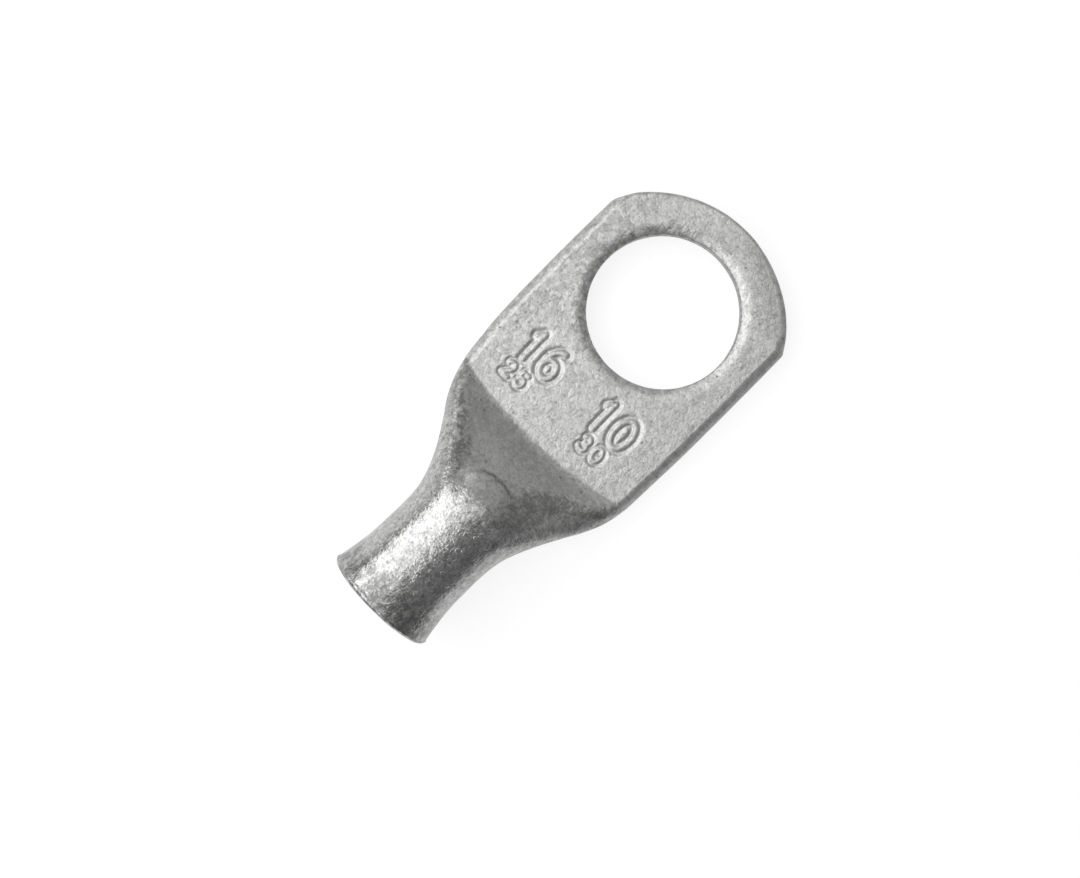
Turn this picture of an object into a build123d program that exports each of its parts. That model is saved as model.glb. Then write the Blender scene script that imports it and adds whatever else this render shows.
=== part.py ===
from build123d import *

import os
from math import asin, cos, degrees, pi, radians, sin, tan

# Battery cable lug: one copper tube, belled at the mouth, spread and pressed flat at the other
# end, punched for the stud and tinned. The origin is on the axis of the stud hole, in the plane
# of the palm's underside. +X points to the tip of the palm, -X to the cable, and +Z is up.

os.makedirs("parts", exist_ok=True)

# Palm, the flat tongue that goes under the nut
palm_thickness = 2.0
palm_width = 15.4
tip_narrowing = 0.3              # how much narrower the palm is at its tip
root_narrowing = 0.65            # and at its root
palm_widest_x = -2.5
root_x = -11.3
tip_x = 7.75
tip_rise_share = 0.287           # rise of the round tip, as a share of its chord
tip_corner_radius = 1.2
tip_edge_break = 0.2

# Stud hole
stud_hole_diameter = 10.2
stud_hole_top_edge = 0.45        # rounding where the punch went in
stud_hole_lower_break = 0.12     # where it came out

# Marks of the dies on the spread tube
press_depth = 0.05               # how far each die bites into the folds
crease_x = -12.1
crease_bow_radius = 30.0
crease_fillet = 0.25
ramp_angle = 43.0

# Barrel, the round end that holds the cable
neck_diameter = 6.9
mouth_diameter = 7.88
mouth_x = -26.25
neck_start_x = -18.6             # the neck ends here in a dome of its own radius
flare_start_x = -22.2
flare_slope = 0.2
rim_radius = 0.35
swell_end_x = -20.4              # where the spread tube has narrowed to the neck

# Inside of the tube
bore_diameter = 4.6
hollow_overlap = 0.4             # the hollow of the swell starts this far down the bore
lead_in_width = 0.35
lead_in_length = 1.6
wall = 1.15
slit_height = 0.3                # last gap between the two walls, under the crease

neck_radius = neck_diameter / 2
mouth_radius = mouth_diameter / 2
bore_radius = bore_diameter / 2
barrel_z = mouth_radius          # the mouth stands on the same plane as the palm
barrel_axis = Axis((0, 0, barrel_z), (1, 0, 0))
root_width = palm_width - root_narrowing
tip_chord = palm_width + 2 * press_depth
tip_rise = tip_rise_share * tip_chord
tip_radius = (tip_chord**2 / 4 + tip_rise**2) / (2 * tip_rise)
folded_low = -press_depth
folded_high = palm_thickness + press_depth
clear_of_all = 2 * mouth_diameter


def ramp_height(x):
    """Height of the pressed ramp above the underside, on the middle line."""
    return palm_thickness + (crease_x - x) * tan(radians(ramp_angle))


def folded_section(x, width, low, high):
    """Section of a flattened tube at x: two flats joined by half-round folds."""
    with BuildSketch(Plane.YZ.offset(x)) as section:
        with Locations((0, (low + high) / 2)):
            SlotOverall(width, high - low)
    return section.sketch


def swell_section(share):
    """Section of the spread tube, from the palm's root (0) to just inside the neck (1)."""
    x = root_x + share * (swell_end_x - root_x)
    narrowing = (1 - cos(pi * share**0.9)) / 2
    neck_width = neck_diameter - press_depth
    neck_high = barrel_z + neck_radius - press_depth
    neck_low = barrel_z - neck_radius + press_depth
    return folded_section(
        x,
        root_width + narrowing * (neck_width - root_width),
        folded_low + share**3 * (neck_low - folded_low),
        folded_high + sin(pi / 2 * share) * (neck_high - folded_high),
    )


# Upper die: a flat over the palm, then a ramp up to the barrel. It is turned about an upright
# axis beyond the tip, so the crease that it leaves at the root of the palm is bowed.
with BuildPart() as upper_die:
    bow_axis_x = crease_x + crease_bow_radius
    with BuildSketch(Plane.XZ) as die_profile:
        with BuildLine():
            Polyline(
                (bow_axis_x, palm_thickness),
                (crease_x, palm_thickness),
                (neck_start_x, ramp_height(neck_start_x)),
                (neck_start_x, clear_of_all),
                (bow_axis_x, clear_of_all),
                close=True,
            )
        make_face()
        crease = (crease_x, 0, palm_thickness)
        fillet(die_profile.vertices().sort_by_distance(crease)[0], crease_fillet)
    revolve(axis=Axis((bow_axis_x, 0, 0), (0, 0, 1)))

with BuildPart() as cable_lug:
    # Palm: the folded tube, its sides slightly bowed
    add(folded_section(tip_x, palm_width - tip_narrowing, folded_low, folded_high))
    add(folded_section(palm_widest_x, palm_width, folded_low, folded_high))
    add(folded_section(root_x, root_width, folded_low, folded_high))
    loft()

    # Swell: the tube opens from the fold to the round neck
    swell_steps = 6
    for step in range(swell_steps + 1):
        add(swell_section(step / swell_steps))
    loft()

    # The dies close: the upper one on palm and ramp, the lower one as a flat plane
    add(upper_die.part, mode=Mode.SUBTRACT)
    split(bisect_by=Plane.XY, keep=Keep.TOP)

    # Barrel: domed shoulder, straight neck and belled mouth, turned about one axis
    with BuildSketch(Plane.XZ) as barrel_profile:
        with BuildLine():
            shoulder = CenterArc((neck_start_x, barrel_z), neck_radius, 0, 90)
            neck = Line(shoulder @ 1, (flare_start_x, barrel_z + neck_radius))
            flare = Spline(
                neck @ 1,
                (mouth_x, barrel_z + mouth_radius),
                tangents=((-1, 0), (-1, flare_slope)),
            )
            Polyline(flare @ 1, (mouth_x, barrel_z), shoulder @ 0)
        make_face()
        rim = (mouth_x, 0, barrel_z + mouth_radius)
        fillet(barrel_profile.vertices().sort_by_distance(rim)[0], rim_radius)
    revolve(axis=barrel_axis)

    # Bore for the cable, with a belled lead-in
    with BuildSketch(Plane.XZ):
        with BuildLine():
            lead_in = Spline(
                (mouth_x, barrel_z + bore_radius + lead_in_width),
                (mouth_x + lead_in_length, barrel_z + bore_radius),
                tangents=((lead_in_length, -2 * lead_in_width), (1, 0)),
            )
            Polyline(
                lead_in @ 1,
                (neck_start_x, barrel_z + bore_radius),
                (neck_start_x, barrel_z),
                (mouth_x, barrel_z),
                lead_in @ 0,
            )
        make_face()
    revolve(axis=barrel_axis, mode=Mode.SUBTRACT)

    # Hollow of the swell: the bore flattens with the tube and closes under the crease
    slit_x = crease_x - wall / 2
    slit_width = root_width - 4 * wall
    middle_x = (slit_x + neck_start_x) / 2
    middle_high = ramp_height(middle_x) - wall / cos(radians(ramp_angle))
    add(folded_section(slit_x, slit_width, wall, wall + slit_height))
    add(folded_section(middle_x, (slit_width + bore_diameter) / 2 + wall, wall, middle_high))
    add(
        folded_section(
            neck_start_x - hollow_overlap,
            bore_diameter - press_depth,
            barrel_z - bore_radius + press_depth,
            barrel_z + bore_radius - press_depth,
        )
    )
    loft(ruled=True, mode=Mode.SUBTRACT)

    # Tip: punched to a round outline with soft corners
    with BuildSketch() as outline:
        with BuildLine():
            tip_start = (tip_x - tip_rise, tip_chord / 2)
            tip_end = (tip_x - tip_rise, -tip_chord / 2)
            ThreePointArc(tip_start, (tip_x, 0), tip_end)
            Polyline(
                tip_end,
                (mouth_x - clear_of_all, -tip_chord / 2),
                (mouth_x - clear_of_all, tip_chord / 2),
                tip_start,
            )
        make_face()
        fillet(outline.vertices().group_by(Axis.X)[-1], tip_corner_radius)
    extrude(amount=clear_of_all, mode=Mode.INTERSECT)

    # The tip's upper edge is broken by a cone about the centre of the round tip
    tip_axis = Axis((tip_x - tip_radius, 0, 0), (0, 0, 1))
    tip_half_angle = degrees(asin(tip_chord / 2 / tip_radius))
    for sweep in (tip_half_angle, -tip_half_angle):
        with BuildSketch(Plane.XZ):
            with BuildLine():
                Polyline(
                    (tip_x - 2 * tip_edge_break, palm_thickness + tip_edge_break),
                    (tip_x + tip_edge_break, palm_thickness - 2 * tip_edge_break),
                    (tip_x + tip_edge_break, palm_thickness + tip_edge_break),
                    close=True,
                )
            make_face()
        revolve(axis=tip_axis, revolution_arc=sweep, mode=Mode.SUBTRACT)

    # Stud hole, punched from above, with a rolled upper edge
    with Locations((0, 0, palm_thickness)):
        Hole(stud_hole_diameter / 2)
    hole_edges = cable_lug.edges(Select.LAST).filter_by(GeomType.CIRCLE).sort_by(Axis.Z)
    chamfer(hole_edges[0], stud_hole_lower_break)
    fillet(hole_edges[-1], stud_hole_top_edge)

cable_lug.part.label = "cable_lug"
export_step(cable_lug.part, "parts/cable_lug.step")
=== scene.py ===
import bmesh
import bpy
import numpy as np
from mathutils import Matrix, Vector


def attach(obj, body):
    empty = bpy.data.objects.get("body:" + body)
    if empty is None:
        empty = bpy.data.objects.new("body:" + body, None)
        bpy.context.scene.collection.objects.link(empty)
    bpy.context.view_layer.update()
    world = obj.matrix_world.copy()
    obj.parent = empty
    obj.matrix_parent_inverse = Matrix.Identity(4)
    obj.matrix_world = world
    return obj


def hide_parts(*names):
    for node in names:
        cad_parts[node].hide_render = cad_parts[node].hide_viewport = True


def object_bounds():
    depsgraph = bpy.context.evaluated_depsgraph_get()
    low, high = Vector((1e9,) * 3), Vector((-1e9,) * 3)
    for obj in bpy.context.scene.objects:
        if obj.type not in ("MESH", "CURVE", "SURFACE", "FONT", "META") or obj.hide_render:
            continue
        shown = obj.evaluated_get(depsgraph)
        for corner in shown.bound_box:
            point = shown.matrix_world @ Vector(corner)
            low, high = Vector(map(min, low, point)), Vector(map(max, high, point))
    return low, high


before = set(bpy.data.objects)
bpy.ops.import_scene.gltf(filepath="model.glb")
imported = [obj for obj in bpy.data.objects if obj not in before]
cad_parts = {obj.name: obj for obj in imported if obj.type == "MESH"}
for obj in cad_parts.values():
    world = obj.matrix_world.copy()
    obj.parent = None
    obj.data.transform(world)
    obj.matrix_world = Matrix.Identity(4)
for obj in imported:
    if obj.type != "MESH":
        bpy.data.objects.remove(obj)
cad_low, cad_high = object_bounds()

# Battery cable lug in tinned copper. Lengths are in millimetres in the CAD's frame until a mesh is
# made: +X points to the tip of the palm, +Y to the left when the tip is up, and +Z is up.
MM = 0.001

# Palm and folds
PALM_TOP = 2.0
PRESS = 0.05                     # how far the dies bite into the folds
SEAM_Z = PALM_TOP / 2            # where the two walls of the flattened tube meet, in a groove
SEAM_DEPTH = 0.05
SEAM_HALF = 0.05

# Outline of the tip
TIP_X = 7.625
TIP_SHIFT = -0.17                # the tip was punched a little to the right
TIP_RADIUS = 8.97
LEFT_CORNER = 0.22               # rounding of the tip's corners, left and right
RIGHT_CORNER = 0.08
CORNER_ANGLE = 1.13              # their direction from the hole, near which the points crowd
CORNER_SPREAD = 0.09
CORNER_CROWD = 3
CORNER_X, CORNER_LENGTH = -1.5, 3.5      # from here and over this length in x and in y, the rim's
CORNER_Y, CORNER_WIDTH = 3.5, 2.5        # inward direction turns to the hole's middle, so that no
CORNER_REACH = 1.05                      # two columns cross at a corner
ROOT_FADE = 1.5                  # length from the root over which that direction leaves the Y axis

# Sheared wall of the tip
CUT_TURN = 0.9                   # inset of the outline over which the fold becomes a sheared wall
CUT_BREAK = 0.28                 # rounding of its upper edge
CUT_BURR = 0.1                   # and of its lower edge
CUT_PULL = 0.3                   # on the right the shear dragged the upper edge in by this
PULL_START, PULL_WIDTH = 1.2, 2.5        # from here to the right, over this width
PULL_DROP = 0.4                  # and lowered it by this share of that
CUT_SAG = 0.13                   # the palm's top sags this much towards the tip's right side
CUT_SAG_REACH = 1.5              # over this width
SAG_START, SAG_WIDTH = 0.8, 3.5          # from here on the left to the right, over this width
SAG_X, SAG_LENGTH = 3.6, 1.2             # and from here towards the tip, over this length

# Stud hole
HOLE_RADIUS = 5.1
HOLE_DISH = 0.85                 # the punch drew the upper edge down over this width
HOLE_DROP = 0.3
DISH_POWER = 2.2
HOLE_BREAK = 0.1
HOLE_TAPER = 0.2                 # the punch broke out below the seam
BREAK_MIDDLE = 0.35              # a point between the ends of the lower break, which rounds it

# Dies
CREASE_X = -12.18
CREASE_BOW = 27.0
CREASE_SIDE = 0.8                # the upper die closed a little askew
CREASE_SOFT = 0.1                # softness of the crease at the sides
CREASE_SOFTER = 0.22             # and how much softer it is in the middle
CREASE_SOFT_HALF = 5.5
BOW_AXIS = CREASE_X + CREASE_BOW
RAMP_SLOPE = 0.985
RAMP_HOLLOW = 0.016              # the ramp's slope eases off up the barrel
ROOT_GAP = 0.6                   # from the crease to the edge of the palm's patch
SWELL_START = -11.3
PRESS_LENGTH = 3.0               # length from there over which the edges of the prints turn soft
SHOULDER_SOFT = 0.28             # softness of the upper die's edge on the right
SHOULDER_SOFTER = 0.22           # and how much softer it is on the left
SHOULDER_WIDTH = 3.0
SOLE_SOFT = 0.4                  # softness of the lower die's edge
WHOLE_PRESS_X = CREASE_X - 3     # up to here the upper die reaches down to the seam, and past it
                                 # only to the barrel's axis

# Barrel
MOUTH_X = -26.25
MOUTH_RADIUS = 3.94
AXIS_Z = MOUTH_RADIUS
NECK_RADIUS = 3.45
DOME_X = -18.6
DOME_LENGTH = 3.4                # round end of the barrel, over the ramp
DOME_POWER = 2.5
DOME_SOFT = 0.08                 # softness of the line in front of it, in the middle
DOME_SOFTER = 0.5                # and how much softer it is at the sides
DOME_SOFT_HALF = 2.2
SWELL_END = -20.4
FLARE_X = -22.2
FLARE_SLOPE = 0.2
RIM_RADIUS = 0.35
BORE_RADIUS = 2.3
LEAD_IN = 0.35
LEAD_IN_LENGTH = 1.6

# Hollow of the swell: place, half width, lowest and highest point. It ends in a line at SLIT_Z
SLIT_X = -12.675
SLIT_Z = 1.3
HOLLOW = [
    (-26.0, BORE_RADIUS, AXIS_Z - BORE_RADIUS, AXIS_Z + BORE_RADIUS),
    (DOME_X, BORE_RADIUS, AXIS_Z - BORE_RADIUS, AXIS_Z + BORE_RADIUS),
    (-15.64, 4.1, 1.2, 3.73),
    (SLIT_X, 5.07, 1.15, 1.45),
]

# Plain numbers in the palm: half width of a stroke at its foot, width of its slope, and how far the
# trough goes down and the ridge in it back up
TROUGH_HALF, TROUGH_SLOPE, TROUGH_DEPTH = 0.56, 0.3, 0.13
RIDGE_HALF, RIDGE_SLOPE, RIDGE_HEIGHT = 0.29, 0.22, 0.14
FULL_HEIGHT = 2.3                # a lower number has finer strokes, down to the share LEAST_STROKE
LEAST_STROKE, STROKE_GAIN = 0.55, 0.45
MARKS_FROM, MARKS_TO, MARKS_HALF = -10.9, -5.7, 6.5

# Random wave of the whole surface: its height for each mm of length, its waves and their lengths
WAVE_HEIGHT = 0.004
WAVES, WAVE_SHORTEST, WAVE_LONGEST = 60, 0.6, 2.2
WAVE_SEED = 7

# Points: across the top and the bottom, down a side, round the rim of the palm, along the tube, and
# from the hole to the rim on the top and underneath
ACROSS = 160
DOWN = 18
ROUND = 250
RINGS = 84
TOP_ROWS = 73
SOLE_ROWS = 15
SOLE_CROWD = 0.8
SIDE_ZONE = np.radians(20)       # angle on a fold where the side's own points begin
ZONE_LENGTH = 5.0                # length behind the crease over which that angle is reached
BOW_KEPT, BOW_LENGTH = 0.6, 5.0  # how far behind it the rings keep its bow, and then lose it
MERGE = 2e-7                     # metres; the patches share their edge points within this
# More rings at the crease, the barrel's round end and the mouth: how many times more, place, width
RING_CROWDS = [(12, CREASE_X, 0.33), (3.0, -15.2, 1.3), (1.0, MOUTH_X, 1.0)]


def smooth_max(a, b, k):
    """The larger of a and b, raised by up to k / 4 over the width k where they cross."""
    overlap = np.clip(k - np.abs(a - b), 0, None) / np.maximum(k, 1e-9)
    return np.maximum(a, b) + overlap**2 * k / 4


def smooth_min(a, b, k):
    """The smaller of a and b, lowered in the same way."""
    return -smooth_max(-a, -b, k)


def ease(t):
    """0 below 0, 1 above 1, and 3t^2 - 2t^3 between."""
    t = np.clip(t, 0, 1)
    return t * t * (3 - 2 * t)


def through(knots, x):
    """Smooth curve through (x, value) knots: cubic Hermite pieces with the knots' own mean slopes."""
    kx, kv = np.array(sorted(knots)).T
    slope = np.gradient(kv, kx)
    i = np.clip(np.searchsorted(kx, x) - 1, 0, len(kx) - 2)
    step = kx[i + 1] - kx[i]
    t = np.clip((x - kx[i]) / step, 0, 1)
    return (
        kv[i] * (2 * t**3 - 3 * t**2 + 1)
        + kv[i + 1] * (3 * t**2 - 2 * t**3)
        + step * slope[i] * (t**3 - 2 * t**2 + t)
        + step * slope[i + 1] * (t**3 - t**2)
    )


# Half width of the tube from the tip to the neck, seen from above
HALF_WIDTHS = [
    (7.75, 7.53), (3.0, 7.66), (-2.6, 7.70), (-7.0, 7.64), (-9.5, 7.50), (-11.3, 7.32),
    (-12.6, 6.96), (-13.9, 6.37), (-15.2, 5.52), (-16.5, 4.71), (-17.7, 4.08), (-19.0, 3.62),
    (-20.4, 3.44), (-22.2, 3.44),
]
# Height of the tube over the same stretch, before the upper die flattens it
HEIGHTS = [
    (7.75, 2.05), (-9.0, 2.05), (-11.0, 2.05), (-11.6, 2.3), (-12.6, 3.1), (-14.1, 4.1),
    (-15.3, 5.05), (-15.9, 5.6), (-16.5, 6.15), (-17.2, 6.75), (-17.9, 7.18), (-18.8, 7.38),
    (-20.4, 7.39), (-22.2, 7.39),
]
# How far the tube stands to the left of the hole's middle. The press left it a little off line to
# the right, so the values are below 0
DRIFTS = [
    (7.75, 0.0), (-6.0, 0.0), (-8.0, -0.01), (-10.6, -0.10), (-12.2, -0.16), (-13.2, -0.18),
    (-14.5, -0.23), (-15.8, -0.31), (-17.0, -0.35), (-19.0, -0.33), (-22.0, -0.27), (-26.3, -0.22),
]
# Share of an ellipse in the section of the swell, on its left and on its right
LEFT_ELLIPSE = 0.08
RIGHT_ELLIPSE = 1.0
ELLIPSE_START, ELLIPSE_LENGTH = -12.0, 2.2   # where it begins, and the length over which it grows


def flare(x):
    """Radius of the barrel: the neck, then a cubic that leaves it level and ends with the flare's slope."""
    t = np.clip((FLARE_X - x) / (FLARE_X - MOUTH_X), 0, 1)
    rise = MOUTH_RADIUS - NECK_RADIUS
    return (
        NECK_RADIUS
        + (3 * t**2 - 2 * t**3) * rise
        + (t**3 - t**2) * FLARE_SLOPE * (FLARE_X - MOUTH_X)
    )


def tube(x):
    """Half width, lowest and highest point of the spread tube at x, before the upper die."""
    share = np.clip((SWELL_START - x) / (SWELL_START - SWELL_END), 0, 1)
    grown = np.maximum(flare(x) - NECK_RADIUS, 0)
    low = -PRESS + share**3 * (AXIS_Z - NECK_RADIUS + PRESS)
    high = np.maximum(through(HEIGHTS, x), PALM_TOP + PRESS)
    return through(HALF_WIDTHS, x) + grown, low - grown, high + grown


def bow(y):
    """How far the crease runs towards the tip at y, an arc about the die's upright axis."""
    return CREASE_BOW - np.sqrt(CREASE_BOW**2 - y**2)


def rounded(x, y, z):
    """Height of a point of the slot-shaped section moved towards the ellipse of the same size."""
    half, low, high = tube(x)
    middle = (high + low) / 2
    arch = (high - middle) * np.sqrt(np.clip(1 - (y / half) ** 2, 0, 1))
    ellipse = middle + np.sign(z - middle) * arch
    share = np.where(y > 0, LEFT_ELLIPSE, RIGHT_ELLIPSE) * ease((ELLIPSE_START - x) / ELLIPSE_LENGTH)
    return z + share * (ellipse - z)


def die_face(x, y):
    """Height of the upper die: flat over the palm, then a ramp that rises with the distance from the
    bowed crease."""
    reach = np.sqrt((BOW_AXIS - x) ** 2 + (y - CREASE_SIDE) ** 2) - CREASE_BOW
    crease = CREASE_SOFT + CREASE_SOFTER * np.clip(1 - (y / CREASE_SOFT_HALF) ** 2, 0, 1)
    ramp = PALM_TOP + reach * (RAMP_SLOPE - RAMP_HOLLOW * reach)
    return smooth_max(PALM_TOP, ramp, crease)


def dome(x, y):
    """Height of the barrel's blunt round end; far below the lug where there is none. Its radius
    falls with the power DOME_POWER of the way along it."""
    ahead = np.clip((x - DOME_X) / DOME_LENGTH, 0, 1)
    under = NECK_RADIUS**2 * (1 - ahead**DOME_POWER) - y**2
    return np.where(under > 0, AXIS_Z + np.sqrt(np.clip(under, 0, None)), -10.0)


def print_depth(x, y):
    """How far the upper die pushed the spread tube down at x and y, negative where it missed it."""
    half, low, high = tube(x)
    radius = (high - low) / 2
    side = np.clip((np.abs(y) - (half - radius)) / radius, 0, 1)
    spread = rounded(x, y, low + radius * (1 + np.sqrt(1 - side**2)))
    return spread - die_face(x, y)


def pressed(x, y, z):
    """Height of a point of the spread tube after the dies, with the domed end of the barrel."""
    past_root = ease((SWELL_START - x) / PRESS_LENGTH)
    shoulder = (SHOULDER_SOFT + SHOULDER_SOFTER * ease(y / SHOULDER_WIDTH)) * past_root
    upper = smooth_min(z, die_face(x, y), shoulder)
    sideways = np.clip(y / DOME_SOFT_HALF, -1, 1) ** 2
    upper = smooth_max(upper, dome(x, y), DOME_SOFT + DOME_SOFTER * sideways)
    reached = (z > SEAM_Z) & ((z > AXIS_Z) | (x > WHOLE_PRESS_X))
    sole = smooth_max(z, 0.0, SOLE_SOFT * past_root)
    return np.where(z < SEAM_Z, sole, np.where(reached, upper, z))


def rings(x_mid, bowed, sizes, zone):
    """Closed rings round a flattened tube. Each runs across the top from right to left, down the
    left fold, back across the bottom and up the right fold. A half-round fold of the tube's own
    height joins the flats, and zone is the angle on the fold where a side begins."""
    x_mid, bowed, zone = x_mid[:, None], bowed[:, None], zone[:, None]
    across = np.linspace(-1, 1, ACROSS + 1)[None]
    down = np.linspace(1, -1, DOWN + 1)[None]

    def parts(x):
        """Half width of the flats, radius of the folds and height of their middle."""
        half, low, high = sizes(x)
        radius = np.maximum((high - low) / 2, 1e-6)
        return half - radius, radius, (high + low) / 2

    def over(x):
        """Place across, height above the middle, and the middle, for the points of the top."""
        flat, radius, middle = parts(x)
        run = across * (flat + radius * (np.pi / 2 - zone))
        on_flat = np.clip(run, -flat, flat)
        turned = (run - on_flat) / radius
        return on_flat + radius * np.sin(turned), radius * np.cos(turned), middle

    def aside(x):
        """The same for the points of the left side, in the zone of its fold."""
        flat, radius, middle = parts(x)
        return flat + radius * np.cos(down * zone), radius * np.sin(down * zone), middle

    y_first = over(x_mid)[0]
    x_over = x_mid + bowed * bow(y_first)
    x_side = x_mid + bowed * bow(y_first[:, -1:]) + 0 * down
    y, dz, middle = over(x_over)
    y_s, dz_s, middle_s = aside(x_side)
    top = np.stack([x_over, y, middle + dz], -1)
    bottom = np.stack([x_over, y, middle - dz], -1)[:, ::-1]
    left = np.stack([x_side, y_s, middle_s + dz_s], -1)
    right = left[:, ::-1] * [1, -1, 1]
    return top, left, bottom, right


def outline(count):
    """Rim of the palm from its left root corner round the tip to the right one, with the inward
    direction at each point. In polar form about the hole, it is the nearer of the side and the
    round tip, blended at the corners."""
    corner = ROOT[1][0, DOWN // 2]
    start = np.arctan2(corner[1], corner[0])
    angle = np.linspace(start, -start, 4001)
    side = np.full(angle.shape, 8.0)     # a first guess, which each step betters
    for _ in range(12):
        x_side = np.clip(side * np.cos(angle), MOUTH_X, TIP_X)
        side = tube(x_side)[0] / np.maximum(np.abs(np.sin(angle)), 1e-3)
    centre = TIP_X - TIP_RADIUS
    along = centre * np.cos(angle) + TIP_SHIFT * np.sin(angle)
    tip = along + np.sqrt(TIP_RADIUS**2 - centre**2 - TIP_SHIFT**2 + along**2)
    tip = np.where(np.abs(angle) < 2.0, tip, 99.0)       # behind the hole there is only the side
    corner_k = np.where(angle > 0, LEFT_CORNER, RIGHT_CORNER)
    away = smooth_min(side, tip, corner_k)
    path = np.stack([away * np.cos(angle), away * np.sin(angle)], -1)
    length = np.r_[0, np.cumsum(np.linalg.norm(np.diff(path, axis=0), axis=1))]
    crowd = 1 + CORNER_CROWD * np.exp(-((np.abs(angle) - CORNER_ANGLE) / CORNER_SPREAD) ** 2)
    weight = np.r_[0, np.cumsum((crowd[1:] + crowd[:-1]) / 2 * np.diff(length))]
    pick = np.interp(np.linspace(0, weight[-1], count + 1), weight, np.arange(len(weight)))
    x = np.interp(pick, np.arange(len(path)), path[:, 0])
    y = np.interp(pick, np.arange(len(path)), path[:, 1])
    tangent = np.stack([np.gradient(path[:, 0]), np.gradient(path[:, 1])], -1)
    tx = np.interp(pick, np.arange(len(path)), tangent[:, 0])
    ty = np.interp(pick, np.arange(len(path)), tangent[:, 1])
    inward = np.stack([ty, -tx], -1)
    ends = ease((x - corner[0]) / ROOT_FADE)
    inward[:, 0] *= ends
    inward /= np.linalg.norm(inward, axis=1)[:, None]
    radial = np.stack([x, y], -1) / np.hypot(x, y)[:, None]
    at_corner = ease((x - CORNER_X) / CORNER_LENGTH) * ease((np.abs(y) - CORNER_Y) / CORNER_WIDTH)
    at_corner = at_corner[:, None]
    inward = inward * (1 - at_corner) - CORNER_REACH * radial * at_corner
    return np.stack([x, y], -1), inward


def marks(x, y):
    """Plain numbers pressed into the palm: each stroke stands as a ridge in a shallow trough.
    The depth depends only on the distance to the nearest stroke."""
    nearest = np.full(x.shape, 9.0)
    for glyph, left, base, tall, wide in MARKS:
        for stroke in GLYPHS[glyph]:
            px = base + tall * stroke[:, 1]
            py = -(left + wide * stroke[:, 0])
            ax, ay, bx, by = px[:-1], py[:-1], px[1:], py[1:]
            dx, dy = bx - ax, by - ay
            length = np.maximum(dx**2 + dy**2, 1e-12)
            t = ((x[..., None] - ax) * dx + (y[..., None] - ay) * dy) / length
            t = np.clip(t, 0, 1)
            away = np.hypot(x[..., None] - ax - t * dx, y[..., None] - ay - t * dy).min(-1)
            stroke_share = LEAST_STROKE + STROKE_GAIN * min(tall / FULL_HEIGHT, 1)
            nearest = np.minimum(nearest, away / stroke_share)
    trough = ease((TROUGH_HALF - nearest) / TROUGH_SLOPE)
    ridge = ease((RIDGE_HALF - nearest) / RIDGE_SLOPE)
    return -TROUGH_DEPTH * trough + RIDGE_HEIGHT * ridge


def arc(cx, cy, rx, ry, start, end, count=15):
    """Points on an ellipse from one angle to another, in degrees."""
    turn = np.radians(np.linspace(start, end, count))
    return np.stack([cx + rx * np.cos(turn), cy + ry * np.sin(turn)], -1)


GLYPHS = {
    "0": [arc(0.5, 0.5, 0.5, 0.5, 0, 360, 25)],
    "1": [np.array([(0.15, 0.8), (0.5, 1.0), (0.5, 0.0)])],
    "2": [np.vstack([arc(0.5, 0.72, 0.46, 0.28, 165, -35), [(0.05, 0.0), (0.95, 0.0)]])],
    "3": [np.vstack([arc(0.48, 0.75, 0.42, 0.25, 150, -90), arc(0.48, 0.26, 0.48, 0.26, 90, -150)])],
    "5": [np.vstack([[(0.9, 1.0), (0.15, 1.0), (0.1, 0.55)], arc(0.48, 0.32, 0.48, 0.32, 110, -150)])],
    "6": [np.vstack([arc(0.75, 0.5, 0.72, 0.5, 95, 180), arc(0.5, 0.3, 0.46, 0.3, 170, 530, 25)])],
}
# Glyph, left edge and foot on the palm, height and width
MARKS = [
    ("1", -4.9, -8.72, 2.15, 1.0), ("6", -3.3, -8.72, 2.15, 1.15),
    ("1", 1.6, -8.72, 2.15, 1.0), ("0", 3.2, -8.72, 2.15, 1.25),
    ("2", -4.9, -10.3, 1.0, 0.6), ("5", -3.8, -10.3, 1.0, 0.6),
    ("3", 2.1, -10.3, 1.0, 0.6), ("0", 3.2, -10.3, 1.0, 0.6),
]


def quads(rows, columns, start, closed):
    """Faces of a grid of points, its last column joined to the first where it is closed."""
    index = start + np.arange(rows * columns).reshape(rows, columns)
    if closed:
        index = np.hstack([index, index[:, :1]])
    a, b, c, d = index[:-1, :-1], index[:-1, 1:], index[1:, 1:], index[1:, :-1]
    return np.stack([a, b, c, d], -1).reshape(-1, 4)


def stations():
    """Places of the rings from the root to the mouth, closer at the crease and the dome."""
    x = np.linspace(CREASE_X + ROOT_GAP, MOUTH_X + RIM_RADIUS, 3000)
    density = sum((more * np.exp(-(((x - at) / wide) ** 2)) for more, at, wide in RING_CROWDS), 1.0)
    weight = np.r_[0, np.cumsum((density[1:] + density[:-1]) / 2)]
    return np.interp(np.linspace(0, weight[-1], RINGS), weight, x)


def hollow(x):
    """Half width, lowest and highest point of the hollow, from the bore to the slit under the crease."""
    places, *sizes = zip(*HOLLOW)
    return tuple(through(zip(places, size), x) for size in sizes)


def joined(parts):
    """One ring from its four runs, each without its last point, which the next one starts with."""
    return np.concatenate([part[:, :-1] for part in parts], 1)


# Rings from the root to the mouth
x_mid = stations()
bowed = 1 - ease((CREASE_X - BOW_KEPT - x_mid) / BOW_LENGTH)
root_zone = np.arcsin(PALM_TOP / 2 / (PALM_TOP / 2 + PRESS))
zone = root_zone + (SIDE_ZONE - root_zone) * ease((CREASE_X - x_mid) / ZONE_LENGTH)
outer = rings(x_mid, bowed, tube, zone)
for part in outer:
    part[..., 2] = rounded(part[..., 0], part[..., 1], part[..., 2])
    part[..., 2] = pressed(part[..., 0], part[..., 1], part[..., 2])
ROOT = [part[:1] for part in outer]

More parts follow.
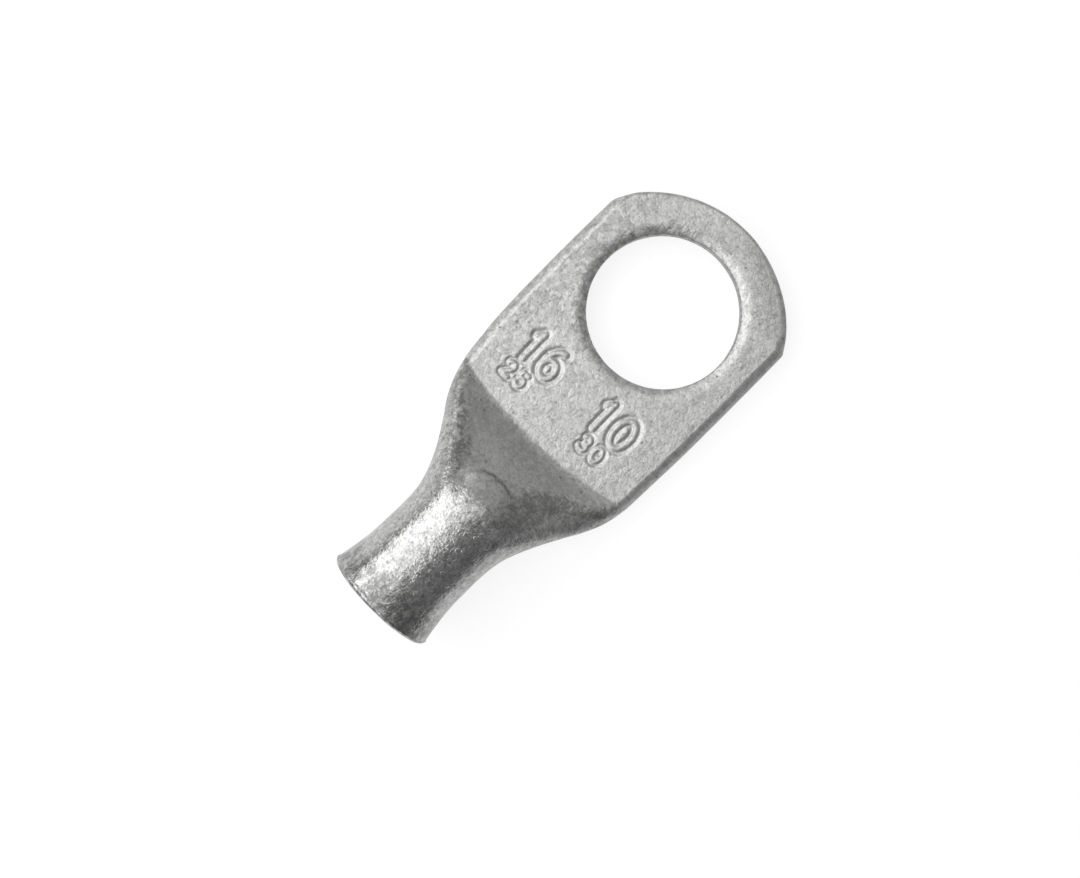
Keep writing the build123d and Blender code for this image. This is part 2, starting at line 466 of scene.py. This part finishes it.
# Rim of the bell, mouth and bore, turned about the barrel's axis
turn = np.linspace(0, np.pi / 2, 7)[1:]
rim_x = MOUTH_X + RIM_RADIUS * (1 - np.sin(turn))
rim_r = MOUTH_RADIUS - RIM_RADIUS * (1 - np.cos(turn))
face_r = np.linspace(rim_r[-1], BORE_RADIUS + LEAD_IN, 5)[1:]
depth = np.linspace(0, 1, 9)[1:]
lead_x = MOUTH_X + LEAD_IN_LENGTH * depth
lead_r = BORE_RADIUS + LEAD_IN * (1 - depth) ** 2
bore_x = np.linspace(lead_x[-1], DOME_X, 6)[1:]
turned_x = np.r_[rim_x, np.full(len(face_r), MOUTH_X), lead_x, bore_x]
turned_r = np.r_[rim_r, face_r, lead_r, np.full(len(bore_x), BORE_RADIUS)]


def bell(radius):
    """Sizes for rings() of a round tube with one radius to a ring."""
    return lambda x: (radius + 0 * x, AXIS_Z - radius + 0 * x, AXIS_Z + radius + 0 * x)


level = np.zeros(len(turned_x))
inner = rings(turned_x, level, bell(turned_r[:, None]), level + SIDE_ZONE)
hollow_x = np.linspace(DOME_X, SLIT_X, 22)[1:]
level = np.zeros(len(hollow_x))
blind = rings(hollow_x, level, hollow, level + SIDE_ZONE)
closing = joined(blind)[-1:].copy()
closing[..., 2] = SLIT_Z
tube_rings = np.concatenate([joined(outer), joined(inner), joined(blind), closing], 0)

# Edge of the palm: a half-round fold at the sides, which turns into the sheared wall of the tip. The
# wall's points are close together at the seam
rim_path, rim_inward = outline(ROUND)
fold_turn = np.linspace(1, -1, DOWN + 1) * root_zone
fold_radius = PALM_TOP / 2 + PRESS
fold_in = fold_radius * (1 - np.cos(fold_turn))
fold_z = PALM_TOP / 2 + fold_radius * np.sin(fold_turn)
upper = np.linspace(0, np.pi / 2, 9)
lower = np.linspace(0, np.pi / 2, 4)
wall_z = np.array([1.3, 1.06, SEAM_Z, 0.94, 0.7, 0.35])
pull = CUT_PULL * ease((-PULL_START - rim_path[:, 1:]) / PULL_WIDTH)
top_break = CUT_BREAK + pull
each_column = np.ones((len(rim_path), 1))
cut_in = np.hstack([
    top_break * (1 - np.sin(upper)),
    each_column * SEAM_DEPTH * np.exp(-(((wall_z - SEAM_Z) / SEAM_HALF) ** 2)),
    each_column * CUT_BURR * (1 - np.cos(lower)),
])
sag = CUT_SAG * ease((SAG_START - rim_path[:, 1:]) / SAG_WIDTH)
sag = sag * ease((rim_path[:, :1] - SAG_X) / SAG_LENGTH)
cut_z = np.hstack([
    PALM_TOP - sag - CUT_BREAK * (1 - np.cos(upper)) - PULL_DROP * pull * (1 - np.cos(upper)),
    each_column * wall_z,
    each_column * CUT_BURR * (1 - np.sin(lower)),
])
inset = tube(rim_path[:, 0])[0] - np.abs(rim_path[:, 1])
cut = ease(inset / CUT_TURN)[:, None]
edge_in = fold_in * (1 - cut) + cut_in * cut
edge_z = fold_z * (1 - cut) + cut_z * cut
edge = np.concatenate(
    [rim_path[:, None] + rim_inward[:, None] * edge_in[..., None], edge_z[..., None]], -1
)

# Top and bottom of the palm: columns run from the hole to the root and the rim
face_top = ROOT[0][0]
face_bottom = ROOT[2][0][::-1]
around_top = np.vstack([face_top[:-1], edge[:-1, 0]])
around_bottom = np.vstack([face_bottom[:-1], edge[:-1, -1]])
angle = np.arctan2(around_top[:, 1], around_top[:, 0])
direction = np.stack([np.cos(angle), np.sin(angle)], -1)
rows = np.linspace(0, 1, TOP_ROWS)[:, None, None]
start = direction * (HOLE_RADIUS + HOLE_DISH)
plan = start[None] + rows * (around_top[None, :, :2] - start[None])
top_z = PALM_TOP + rows[..., 0] * (around_top[:, 2] - PALM_TOP)
from_rim = np.linalg.norm(plan - around_top[None, :, :2], axis=-1)
sagged = np.r_[np.zeros(len(face_top) - 1), sag[:-1, 0]]
sag_reach = np.minimum(CUT_SAG_REACH, from_rim[:1])
top_z = top_z - sagged * (np.clip(1 - from_rim / sag_reach, 0, 1) ** 2 - rows[..., 0])
top = np.concatenate([plan, top_z[..., None]], -1)
rows = np.linspace(0, 1, SOLE_ROWS)[:, None, None] ** SOLE_CROWD
start = direction * (HOLE_RADIUS + HOLE_TAPER + HOLE_BREAK)
plan = start[None] + rows * (around_bottom[None, :, :2] - start[None])
bottom_z = rows[..., 0] * around_bottom[:, 2]
bottom = np.concatenate([plan, bottom_z[..., None]], -1)

# Wall of the hole: the dish of the upper edge, the wall with its seam, and the break of the lower one
dish = np.linspace(1, 0, 12)
bore_z = np.array([1.64, 1.5, 1.2, 1.06, SEAM_Z, 0.94, 0.85, 0.6, 0.35, HOLE_BREAK])
hole_in = np.r_[
    HOLE_RADIUS + HOLE_DISH * dish,
    HOLE_RADIUS
    + SEAM_DEPTH * np.exp(-(((bore_z - SEAM_Z) / SEAM_HALF) ** 2))
    + HOLE_TAPER * np.clip(SEAM_Z - bore_z, 0, 1),
    HOLE_RADIUS + HOLE_TAPER + HOLE_BREAK * BREAK_MIDDLE,
    HOLE_RADIUS + HOLE_TAPER + HOLE_BREAK,
]
hole_z = np.r_[
    PALM_TOP - HOLE_DROP * (1 - dish) ** DISH_POWER,
    bore_z,
    HOLE_BREAK * BREAK_MIDDLE,
    0.0,
]
hole_plan = hole_in[:, None, None] * direction[None]
hole_heights = np.broadcast_to(hole_z[:, None, None], (*hole_plan.shape[:2], 1))
hole = np.concatenate([hole_plan, hole_heights], -1)

# Marks in the palm
near = (top[..., 0] < MARKS_TO) & (top[..., 0] > MARKS_FROM) & (np.abs(top[..., 1]) < MARKS_HALF)
top[..., 2][near] += marks(top[..., 0][near], top[..., 1][near])

# One closed mesh from all the patches
points, faces, start = [], [], 0
for patch, closed in ((top, True), (bottom, True), (hole, True), (edge, False), (tube_rings, True)):
    points.append(patch.reshape(-1, 3))
    faces.append(quads(patch.shape[0], patch.shape[1], start, closed))
    start += patch.shape[0] * patch.shape[1]
points = np.vstack(points)
points[:, 1] += through(DRIFTS, points[:, 0])
faces = np.vstack(faces)

mesh = bpy.data.meshes.new("lug_body")
mesh.from_pydata((points * MM).tolist(), [], faces.tolist())
shape = bmesh.new()
shape.from_mesh(mesh)
bmesh.ops.remove_doubles(shape, verts=shape.verts, dist=MERGE)
bmesh.ops.dissolve_degenerate(shape, edges=shape.edges, dist=1e-8)
bmesh.ops.recalc_face_normals(shape, faces=shape.faces)
shape.to_mesh(mesh)
shape.free()


def waves(at, count, shortest, longest, seed):
    """Seeded sum of plane waves with lengths between the two given: a smooth random relief."""
    rng = np.random.default_rng(seed)
    way = rng.normal(size=(3, count))
    way /= np.linalg.norm(way, axis=0)
    length = np.exp(rng.uniform(np.log(shortest), np.log(longest), count))
    phase = rng.uniform(0, 2 * np.pi, count)
    return (np.sin(at @ (way * 2 * np.pi / length) + phase) * length).sum(1) / np.sqrt(count)


# Move each point along its normal by the wave, within the CAD's box
mesh.polygons.foreach_set("use_smooth", np.ones(len(mesh.polygons), bool))
mesh.update()
at = np.empty(len(mesh.vertices) * 3)
mesh.vertices.foreach_get("co", at)
at = at.reshape(-1, 3) / MM
normal = np.empty(len(mesh.vertices) * 3, np.float32)
mesh.vertices.foreach_get("normal", normal)
normal = normal.reshape(-1, 3)
relief = WAVE_HEIGHT * waves(at, WAVES, WAVE_SHORTEST, WAVE_LONGEST, WAVE_SEED)
at += normal * relief[:, None]
low = np.array(cad_low) / MM
high = np.array(cad_high) / MM
at = np.clip(at, low, high)
mesh.vertices.foreach_set("co", (at * MM).ravel())
mesh.update()

# Two values on the points for the material, in mm from -1 to 1: the depth of the die's print, and the
# gap between the die and the barrel's round end. Away from the top of the swell they are 1
UPPER_Z = 1.2                    # points above this are on the upper half of the flattened tube
x_at = np.clip(at[:, 0], SWELL_END, SWELL_START)
y_at = at[:, 1] - through(DRIFTS, at[:, 0])
inside = (at[:, 0] > SWELL_END) & (at[:, 0] < SWELL_START) & (at[:, 2] > UPPER_Z)
depth_at = np.where(inside, print_depth(x_at, y_at), 1.0)
gap_at = np.where(inside, dome(x_at, y_at) - die_face(x_at, y_at), 1.0)
for name, values in (("print_depth", depth_at), ("dome_gap", gap_at)):
    attribute = mesh.attributes.new(name, "FLOAT", "POINT")
    attribute.data.foreach_set("value", np.clip(values, -1, 1).astype(np.float32))
lug = bpy.data.objects.new("lug_body", mesh)
bpy.context.scene.collection.objects.link(lug)


def linear(code):
    """sRGB hex to linear, with an alpha of 1."""
    value = np.array([int(code[i : i + 2], 16) for i in (0, 2, 4)]) / 255
    value = np.where(value <= 0.04045, value / 12.92, ((value + 0.055) / 1.055) ** 2.4)
    return (*value.tolist(), 1.0)


def node(tree, kind, inputs=None, **settings):
    """Adds a node, sets its attributes, and sets or links its inputs by name or number."""
    made = tree.nodes.new(kind)
    for name, value in settings.items():
        setattr(made, name, value)
    for name, value in (inputs or {}).items():
        if isinstance(value, bpy.types.NodeSocket):
            tree.links.new(value, made.inputs[name])
        else:
            made.inputs[name].default_value = value
    return made


def new_tree(name):
    """An empty material and its node tree."""
    material = bpy.data.materials.new(name)
    material.use_nodes = True
    material.node_tree.nodes.clear()
    return material, material.node_tree


# Tin-plated copper, barrel-plated over a drawn and pressed tube: a grey-white satin metal with a
# fine orange-peel grain, scattered pits darkened by painted shade, and small glints painted in as
# highlights. Sizes of its pattern in metres: fine grain, lumps and wide patches, and the spacing of
# the pits and of the glints
GRAIN_SIZE, LUMP_SIZE, PATCH_SIZE = 0.00014, 0.00045, 0.0022
PIT_SPACING = 0.0007
GLINT_SPACING = 0.0005
RAGGED_SIZE = 0.0002             # of the noise that makes the outlines of the glints uneven
BUMP_HEIGHT = 0.000011
BARREL_ROUGH, PALM_ROUGH = 0.17, 0.44
DARK_TIN, PALE_TIN = "929291", "DEDEDD"
# How much each takes from the shade, which runs from 0, dark tin, to 1, pale tin: painted shade on
# the swell's right, soil on its left, and painted shade towards the mouth
RIGHT_SHADE, SOILED, MOUTH_SHADE = 0.42, 0.62, 0.7
# Painted shade in the pits
PIT_SHADE = 0.45
MARGIN_SHADE = 0.16
tin, tree = new_tree("tinned_copper")
place = node(tree, "ShaderNodeTexCoord").outputs["Object"]


def cloud(size, detail, low, high):
    """Soft noise of a size in metres, stretched so that its range from low to high is 0 to 1."""
    noise = node(
        tree, "ShaderNodeTexNoise",
        {"Vector": place, "Scale": 1 / size, "Detail": detail, "Roughness": 0.6},
    )
    stretched = {"Value": noise.outputs["Fac"], "From Min": low, "From Max": high}
    return node(tree, "ShaderNodeMapRange", stretched).outputs[0]


def maths(operation, a, b, c=0.0):
    """One sum on numbers or sockets."""
    return node(tree, "ShaderNodeMath", {0: a, 1: b, 2: c}, operation=operation).outputs[0]


grain = cloud(GRAIN_SIZE, 2.0, 0.36, 0.64)
lumps = cloud(LUMP_SIZE, 2.0, 0.33, 0.67)
patches = cloud(PATCH_SIZE, 3.0, 0.3, 0.7)
cells = node(
    tree, "ShaderNodeTexVoronoi", {"Vector": place, "Scale": 1 / PIT_SPACING, "Randomness": 1.0}
)
pits = node(
    tree, "ShaderNodeMapRange",
    {"Value": cells.outputs["Distance"], "From Min": 0.06, "From Max": 0.22},
    interpolation_type="SMOOTHSTEP",
).outputs[0]
ragged = node(tree, "ShaderNodeTexNoise", {"Vector": place, "Scale": 1 / RAGGED_SIZE, "Detail": 2.0})
ragged = node(
    tree, "ShaderNodeVectorMath", {0: ragged.outputs["Color"], 1: (RAGGED_SIZE,) * 3, 2: place},
    operation="MULTIPLY_ADD",
)
specks = node(
    tree, "ShaderNodeTexVoronoi",
    {"Vector": ragged.outputs[0], "Scale": 1 / GLINT_SPACING, "Randomness": 1.0},
)
blobs = node(
    tree, "ShaderNodeMapRange",
    {"Value": specks.outputs["Distance"], "From Min": 0.4, "From Max": 0.26},
    interpolation_type="SMOOTHSTEP",
).outputs[0]
glint = maths("MULTIPLY", blobs, maths("MULTIPLY_ADD", patches, 0.8, 0.2))
height = maths("MULTIPLY_ADD", grain, 0.6, maths("MULTIPLY_ADD", pits, 0.5, lumps))
height = maths("MULTIPLY_ADD", glint, 1.3, height)
bump = node(tree, "ShaderNodeBump", {"Height": height, "Strength": 1.0, "Distance": BUMP_HEIGHT})

# The drawn barrel is smoother than the pressed palm
along = node(tree, "ShaderNodeSeparateXYZ", {0: place}).outputs["X"]
pressed_part = node(
    tree, "ShaderNodeMapRange",
    {
        "Value": along, "From Min": -0.0185, "From Max": -0.0125,
        "To Min": BARREL_ROUGH, "To Max": PALM_ROUGH,
    },
).outputs[0]
rough = maths("MULTIPLY_ADD", patches, 0.06, pressed_part)

# Mottle of the tin, and how much paler the palm is than the ramp
mottle = maths("ADD", maths("MULTIPLY", grain, 0.5), maths("MULTIPLY", lumps, 0.5))
paleness_and_sheen = node(
    tree, "ShaderNodeMapRange",
    {"Value": along, "From Min": -0.0127, "From Max": -0.0118, "To Min": 0.04, "To Max": 0.3},
).outputs[0]


def stored(name):
    """A value kept on the mesh's points."""
    return node(tree, "ShaderNodeAttribute", attribute_name=name).outputs["Fac"]


def band(value, start, end):
    """0 at start, 1 at end, with a soft step between."""
    return node(
        tree, "ShaderNodeMapRange", {"Value": value, "From Min": start, "From Max": end},
        interpolation_type="SMOOTHSTEP",
    ).outputs[0]


# Places for the finish and for the painted light and shade: on the die's print, on the palm, and clear
# of the barrel's round end. Bands along and to the side are in metres, and those of the two stored
# values in millimetres
depth_value, gap_value = stored("print_depth"), stored("dome_gap")
side = node(tree, "ShaderNodeSeparateXYZ", {0: place}).outputs["Y"]
on_print = band(depth_value, 0.0, 0.2)
on_palm = band(along, -0.0124, -0.0118)
off_dome = band(gap_value, 0.05, -0.05)

# Painted shade darkens the swell's right, where the die missed the spread tube
missed = maths("MULTIPLY", band(depth_value, 0.05, -0.12), band(depth_value, -0.95, -0.55))
on_right = maths("MULTIPLY", band(side, -0.0004, -0.0013), band(along, -0.0182, -0.0165))
painted_shade_right = maths("MULTIPLY", missed, on_right)

# On the left, the edge of the die's print holds soil
beside = maths("MULTIPLY", band(depth_value, -0.99, -0.35), band(depth_value, 0.15, -0.1))
on_left = maths("MULTIPLY", band(side, 0.0002, 0.0016), band(along, -0.0182, -0.0158))
soil = maths("MULTIPLY", maths("MULTIPLY", beside, on_left), maths("MULTIPLY_ADD", lumps, -0.8, 1.0))

# Painted shade darkens the concave corner in front of the barrel's round end, near its middle
in_corner = maths("MULTIPLY", band(gap_value, -0.6, -0.12), band(gap_value, 0.28, 0.08))
in_front = maths("MULTIPLY", in_corner, band(along, -0.0159, -0.0155))
from_middle = maths("ABSOLUTE", maths("ADD", side, 0.0001), 0.0)
corner = maths("MULTIPLY", in_front, band(from_middle, 0.0019, 0.0008))
corner = maths("MULTIPLY", corner, maths("MULTIPLY_ADD", grain, -0.4, 0.7))
# Soil on the left, with the painted shade on the right and in the corner
soil_and_shade = maths("MULTIPLY_ADD", painted_shade_right, RIGHT_SHADE, maths("MULTIPLY_ADD", soil, SOILED, corner))

# Painted shade dims the barrel towards the mouth, mottled
mouth_shade = maths("MULTIPLY", band(along, -0.0236, -0.0249), maths("MULTIPLY_ADD", lumps, -0.5, 0.75))
soil_and_shade = maths("MULTIPLY_ADD", mouth_shade, MOUTH_SHADE, soil_and_shade)

# The tin is darker in a ring round the hole, more on the left
flat_place = node(tree, "ShaderNodeVectorMath", {0: place, 1: (1.0, 1.0, 0.0)}, operation="MULTIPLY")
from_hole = node(tree, "ShaderNodeVectorMath", {0: flat_place.outputs[0]}, operation="LENGTH")
round_hole = band(from_hole.outputs["Value"], 0.0066, 0.0053)
hole_ring_darkening = maths("MULTIPLY", round_hole, maths("MULTIPLY_ADD", lumps, -0.5, 0.7))
hole_ring_darkening_strength = maths("MULTIPLY_ADD", band(side, -0.002, 0.003), 0.4, 0.1)
soil_and_shade = maths("MULTIPLY_ADD", hole_ring_darkening, hole_ring_darkening_strength, soil_and_shade)

# The die evened out the mottle on the ramp, and a little on the palm
printed = maths("MULTIPLY", on_print, band(along, -0.0119, -0.0124))
evened = maths("MULTIPLY", printed, maths("MAXIMUM", off_dome, band(along, -0.0140, -0.0130)))
contrast = maths("MULTIPLY_ADD", evened, -0.4, 1.0)
contrast = maths("MULTIPLY_ADD", on_palm, -0.1, contrast)
clean = maths("MULTIPLY_ADD", maths("SUBTRACT", mottle, 0.5), contrast, 0.5)

# A painted sheen lightens the ramp up to the barrel, more on the left, and the palm's left margin is darker
painted_sheen = maths("MULTIPLY", on_print, band(along, -0.0130, -0.0154))
painted_sheen = maths("MULTIPLY", painted_sheen, maths("MULTIPLY", band(along, -0.0172, -0.0160), off_dome))
painted_sheen = maths("MULTIPLY", painted_sheen, maths("MULTIPLY_ADD", band(side, -0.001, 0.002), 0.2, 0.2))
margin = maths("MULTIPLY", band(side, 0.0042, 0.0066), on_palm)
paleness_and_sheen = maths("SUBTRACT", maths("ADD", paleness_and_sheen, painted_sheen), maths("MULTIPLY", margin, MARGIN_SHADE))

# A painted highlight lightens the crown of the barrel's round end, left of its middle
near_front = maths("MULTIPLY", band(along, -0.0178, -0.0168), band(along, -0.0145, -0.0148))
near_front = maths("MULTIPLY", near_front, band(side, -0.0018, 0.0006))
crown_highlight = maths("MULTIPLY", band(gap_value, 0.0, 0.45), near_front)
crown_highlight = maths("MULTIPLY", crown_highlight, maths("MULTIPLY_ADD", lumps, 0.4, 0.15))
clean = maths("ADD", clean, maths("ADD", crown_highlight, paleness_and_sheen))

# Painted highlights: glints on the palm, faint elsewhere. Painted shade darkens the pits all over
painted_glints = maths("MULTIPLY", glint, maths("MULTIPLY_ADD", on_palm, 0.9, 0.06))
clean = maths("MULTIPLY_ADD", maths("SUBTRACT", pits, 1.0), PIT_SHADE, maths("ADD", painted_glints, clean))
shade = maths("SUBTRACT", clean, soil_and_shade)
colour = node(
    tree, "ShaderNodeMix",
    {"Factor": maths("ADD", shade, 0.03), 6: linear(DARK_TIN), 7: linear(PALE_TIN)},
    data_type="RGBA",
)
surface = node(
    tree, "ShaderNodeBsdfPrincipled",
    {
        "Base Color": colour.outputs[2],
        "Metallic": 1.0,
        "Roughness": rough,
        "Normal": bump.outputs["Normal"],
    },
)
node(tree, "ShaderNodeOutputMaterial", {"Surface": surface.outputs["BSDF"]})
mesh.materials.append(tin)

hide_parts("cable_lug")
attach(lug, "root")

# Floor: pale matt board, lifted to white for the camera. In reflections and through glass it is lifted
# too, by a painted pool of light: brighter on the left and towards the mouth, where the softboxes light
# it, and dim on the right, in the lug's shadow
FLOOR_Z = -1e-5                  # metres; just below the lug, so that no two faces share a plane
FLOOR_GLOW = 0.82
board, tree = new_tree("matt_board")
light_path = node(tree, "ShaderNodeLightPath")
mirrored = node(
    tree, "ShaderNodeMath",
    {0: light_path.outputs["Is Glossy Ray"], 1: light_path.outputs["Is Transmission Ray"]},
    operation="ADD",
)
spot = node(tree, "ShaderNodeTexCoord").outputs["Object"]
leftward = node(tree, "ShaderNodeVectorMath", {0: spot, 1: (-0.6, 0.8, 0.0)}, operation="DOT_PRODUCT")
# Painted light on the floor, seen in reflections and through glass
floor_light_pool = node(
    tree, "ShaderNodeMapRange",
    {
        "Value": leftward.outputs["Value"], "From Min": -0.03, "From Max": 0.018,
        "To Min": 0.02, "To Max": 0.66,
    },
)
direct = node(
    tree, "ShaderNodeMath", {0: light_path.outputs["Is Camera Ray"], 1: FLOOR_GLOW}, operation="MULTIPLY"
)
lift = node(
    tree, "ShaderNodeMath",
    {0: mirrored.outputs[0], 1: floor_light_pool.outputs[0], 2: direct.outputs[0]},
    operation="MULTIPLY_ADD",
)
matt = node(tree, "ShaderNodeBsdfDiffuse", {"Color": linear("8F8F8F")})
glow = node(tree, "ShaderNodeEmission", {"Color": linear("FFFFFF"), "Strength": lift.outputs[0]})
both = node(tree, "ShaderNodeAddShader", {0: matt.outputs[0], 1: glow.outputs[0]})
node(tree, "ShaderNodeOutputMaterial", {"Surface": both.outputs[0]})
floor_mesh = bpy.data.meshes.new("floor")
floor_corners = [(x, y, FLOOR_Z) for x, y in ((-1, -1), (1, -1), (1, 1), (-1, 1))]
floor_mesh.from_pydata(floor_corners, [], [(0, 1, 2, 3)])
floor_mesh.materials.append(board)
floor = bpy.data.objects.new("floor", floor_mesh)
bpy.context.scene.collection.objects.link(floor)


def softbox(name, heading, inner, outer, ends, radiance):
    """Flat panel of an even radiance that leans away along a heading in degrees. Its inner and outer
    edges are given by their distance and height, and its ends by their place across the heading."""
    turn = np.radians(heading)
    out = np.array([np.cos(turn), np.sin(turn), 0])
    across = np.array([-np.sin(turn), np.cos(turn), 0])
    near = out * inner[0] + [0, 0, inner[1]]
    far = out * outer[0] + [0, 0, outer[1]]
    deep = np.linalg.norm(far - near)
    run = (far - near) / deep
    lamp = bpy.data.lights.new(name, "AREA")
    lamp.shape = "RECTANGLE"
    lamp.size, lamp.size_y = ends[1] - ends[0], deep
    lamp.energy = radiance * np.pi * lamp.size * lamp.size_y
    box = bpy.data.objects.new(name, lamp)
    box.location = (near + far) / 2 + across * (ends[0] + ends[1]) / 2
    box.rotation_mode = "QUATERNION"
    facing = Matrix(np.stack([-across, run, np.cross(-across, run)], 1).tolist())
    box.rotation_quaternion = facing.to_quaternion()
    bpy.context.scene.collection.objects.link(box)


# A large softbox towards the mouth and the left, as two panels with a narrow gap between them, and
# a weaker one overhead that reaches out past the tip's left corner
softbox("upper_softbox", 135, (0.047, 0.188), (0.087, 0.177), (-0.25, 0.22), 1.74)
softbox("side_softbox", 135, (0.1, 0.172), (0.218, 0.132), (-0.3, 0.28), 1.68)
softbox("top_softbox", 45, (-0.018, 0.2), (0.09, 0.196), (-0.12, 0.031), 0.7)

# The room: dim past the mouth and on the right, paler past the tip and on the left
world = bpy.data.worlds.new("studio")
world.use_nodes = True
tree = world.node_tree
tree.nodes.clear()
way = node(tree, "ShaderNodeTexCoord").outputs["Generated"]
toward = node(tree, "ShaderNodeVectorMath", {0: way, 1: (0.71, 0.71, 0.0)}, operation="DOT_PRODUCT")
room = node(
    tree, "ShaderNodeMapRange",
    {"Value": toward.outputs["Value"], "From Min": -1.0, "From Max": 1.0, "To Min": 0.12, "To Max": 0.46},
)
sky = node(tree, "ShaderNodeBackground", {"Color": linear("FFFFFF"), "Strength": room.outputs["Result"]})
node(tree, "ShaderNodeOutputWorld", {"Surface": sky.outputs[0]})
bpy.context.scene.world = world
bpy.context.scene.view_settings.view_transform = "Standard"

# Camera straight above the swell, turned so that the tip points to the upper right
CAMERA_X, CAMERA_Y = -11.67, -0.16
HEIGHT = 78.0
IMAGE_WIDTH = 1080
PIXELS_PER_MM = 15.08            # in an image of that width, at the height SCALE_Z
SCALE_Z = 1.15
SENSOR_WIDTH = 36.0
FOCAL_PIXELS = PIXELS_PER_MM * (HEIGHT - SCALE_Z)
lens = bpy.data.cameras.new("camera")
lens.sensor_width = SENSOR_WIDTH
lens.lens = SENSOR_WIDTH * FOCAL_PIXELS / IMAGE_WIDTH
lens.clip_start = 0.001
camera = bpy.data.objects.new("camera", lens)
camera.location = (CAMERA_X * MM, CAMERA_Y * MM, HEIGHT * MM)
camera.rotation_euler = (0, 0, np.radians(-45))
bpy.context.scene.collection.objects.link(camera)
bpy.context.scene.camera = camera
